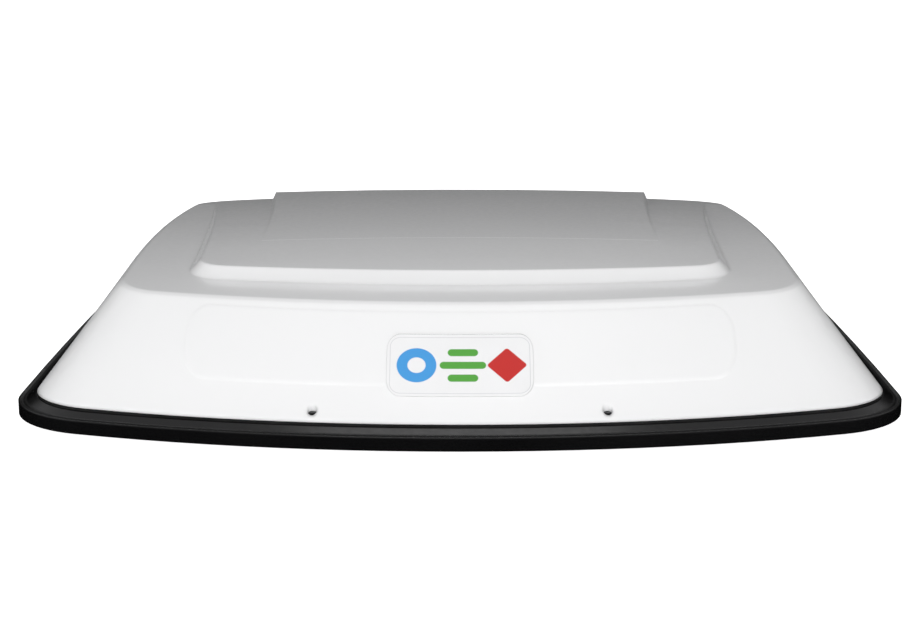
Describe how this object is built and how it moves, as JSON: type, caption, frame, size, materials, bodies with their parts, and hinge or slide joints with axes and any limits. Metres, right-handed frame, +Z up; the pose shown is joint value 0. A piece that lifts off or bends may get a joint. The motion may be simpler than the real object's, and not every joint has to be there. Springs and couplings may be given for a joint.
{
  "type": "roof vent cover",
  "caption": "Low white moulded dome with a raised centre and hooded rear louvre, screwed to a black base frame that bolts over a vehicle's roof vent.",
  "frame": {"origin": "on the roof surface, at the middle of the base frame's outline", "axes": "+Z up, -Y towards the cover's closed front, +X across the vehicle"},
  "size_m": [0.6108, 0.6, 0.097],
  "materials": {
    "shell_white": "glossy moulded white",
    "badge_face": "clear domed resin over a plain printed label",
    "frame_black": "glossy moulded black",
    "foam": "closed-cell foam",
    "seal": "soft black strip",
    "bracket_metal": "mill finish",
    "stainless": "plain stainless",
    "insert_brass": "knurled brass",
    "washer_black": "bonded sealing washer",
    "grille_white": "glossy moulded white",
    "screen_black": "satin moulded black",
    "mesh": "woven insect mesh"
  },
  "bodies": {
    "base": {"base_frame": "frame_black", "roof_gasket": "foam", "cover_seal": "seal", "bracket_right": "bracket_metal", "bracket_left": "bracket_metal", "bracket_front": "bracket_metal", "bracket_rear": "bracket_metal", "threaded_inserts": "insert_brass", "bracket_washers": "stainless", "bracket_bolts": "stainless", "bracket_nuts": "stainless"},
    "cover": {"cover_shell": "shell_white", "front_badge": "badge_face", "screw_washers": "washer_black", "rear_grille": "grille_white", "grille_screws": "stainless", "screen_frame": "screen_black", "insect_screen": "mesh", "clip_screws": "stainless"},
    "clip_right": {"screen_clip_right": "screen_black"},
    "clip_left": {"screen_clip_left": "screen_black"},
    "screw_front_left": {"cover_screw_front_left": "stainless"},
    "screw_front_right": {"cover_screw_front_right": "stainless"},
    "screw_rear_left": {"cover_screw_rear_left": "stainless"},
    "screw_rear_right": {"cover_screw_rear_right": "stainless"}
  },
  "joints": [
    {"name": "cover_lift", "type": "slide", "parent": "base", "child": "cover", "axis": [0, 0, 1], "range_m": [0, 0.15]},
    {"name": "screw_turn_front_left", "type": "hinge", "parent": "cover", "child": "screw_front_left", "pos_m": [-0.095, -0.27429, 0.0175], "axis": [0, 0, 1], "continuous": true},
    {"name": "screw_turn_front_right", "type": "hinge", "parent": "cover", "child": "screw_front_right", "pos_m": [0.095, -0.27429, 0.0175], "axis": [0, 0, 1], "continuous": true},
    {"name": "screw_turn_rear_left", "type": "hinge", "parent": "cover", "child": "screw_rear_left", "pos_m": [-0.205, 0.25304, 0.0175], "axis": [0, 0, 1], "continuous": true},
    {"name": "screw_turn_rear_right", "type": "hinge", "parent": "cover", "child": "screw_rear_right", "pos_m": [0.205, 0.25304, 0.0175], "axis": [0, 0, 1], "continuous": true},
    {"name": "clip_turn_right", "type": "hinge", "parent": "cover", "child": "clip_right", "pos_m": [0.1508, 0.23552, 0.055], "axis": [0, 1, 0], "range_deg": [-90, 0]},
    {"name": "clip_turn_left", "type": "hinge", "parent": "cover", "child": "clip_left", "pos_m": [-0.1508, 0.23552, 0.055], "axis": [0, 1, 0], "range_deg": [0, 90]}
  ]
}
